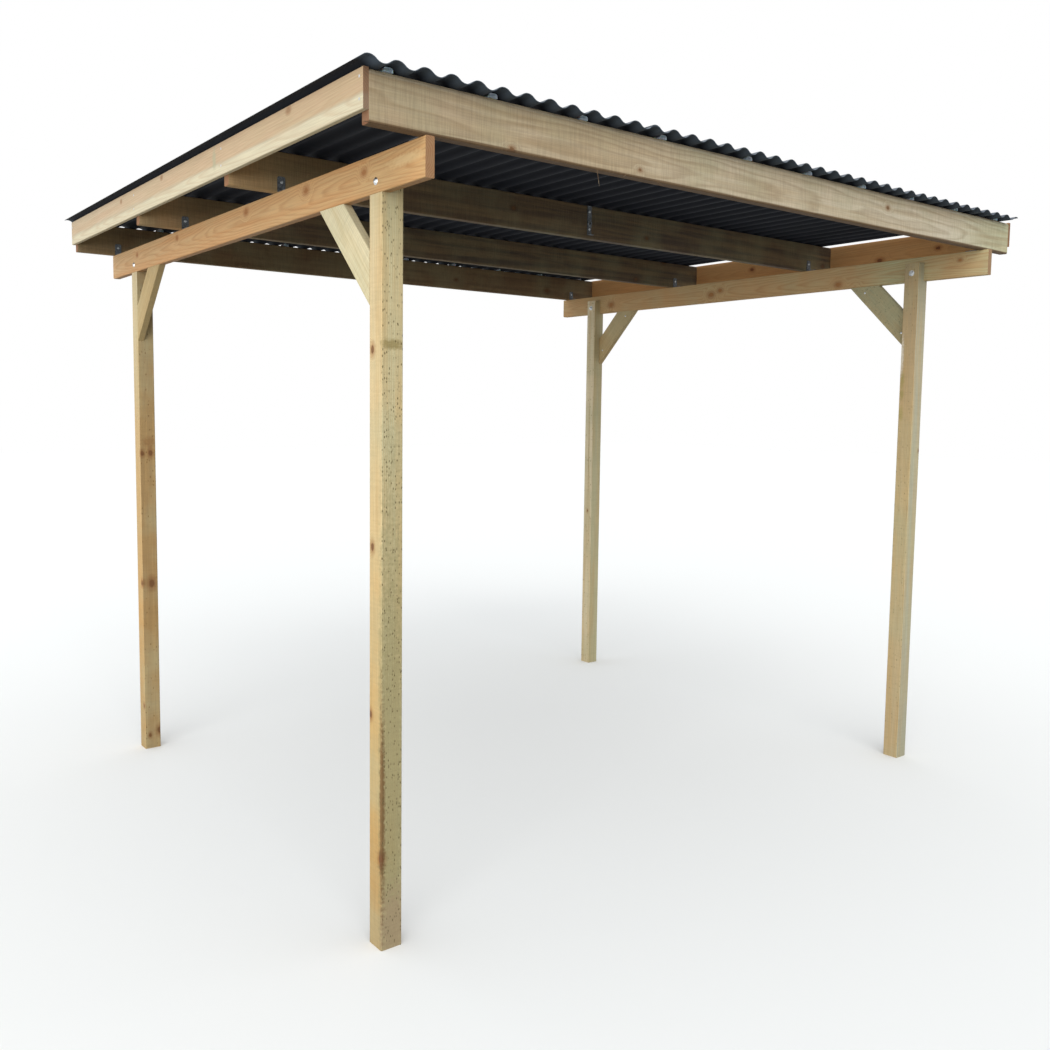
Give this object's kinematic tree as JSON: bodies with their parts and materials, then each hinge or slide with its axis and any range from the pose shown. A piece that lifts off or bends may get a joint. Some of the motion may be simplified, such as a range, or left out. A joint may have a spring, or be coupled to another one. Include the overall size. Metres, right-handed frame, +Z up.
{
  "type": "open timber shelter",
  "caption": "Open timber shelter: square posts with knee braces carry side beams, cross timbers, fascias and a flat corrugated sheet roof.",
  "frame": {"origin": "on the ground, under the centre of the timber frame: midway between the outer faces of the side beams and midway between the front and back cross timbers, about 10 mm from the middle of the bounding box", "axes": "+X to the right seen from the front, along the cross timbers; +Y from the front to the back, along the side beams and the corrugations; +Z up"},
  "size_m": [3.0173, 2.619, 2.281],
  "materials": {
    "post_timber": "planed pressure-treated pine",
    "beam_timber": "sawn pressure-treated pine board with knots",
    "cross_timber": "rough-sawn pressure-treated pine, greyish",
    "fascia_timber": "sawn pine board, pink heartwood and pale sapwood",
    "roofing": "dark corrugated sheet, satin",
    "zinc_steel": "zinc plated"
  },
  "bodies": {
    "root": {"back_beam": "cross_timber", "bolts_left": "zinc_steel", "bolts_right": "zinc_steel", "brace_back_left": "beam_timber", "brace_back_right": "beam_timber", "brace_front_left": "beam_timber", "brace_front_right": "beam_timber", "brackets_left": "zinc_steel", "brackets_right": "zinc_steel", "fascia_left": "fascia_timber", "fascia_right": "fascia_timber", "front_beam": "cross_timber", "nuts_left": "zinc_steel", "nuts_right": "zinc_steel", "post_back_left": "post_timber", "post_back_right": "post_timber", "post_front_left": "post_timber", "post_front_right": "post_timber", "purlin_front": "cross_timber", "purlin_rear": "cross_timber", "roof_sheet_left": "roofing", "roof_sheet_middle": "roofing", "roof_sheet_right": "roofing", "side_beam_left": "beam_timber", "side_beam_right": "beam_timber", "tie_strap": "zinc_steel", "washers_left": "zinc_steel", "washers_right": "zinc_steel"}
  },
  "joints": []
}
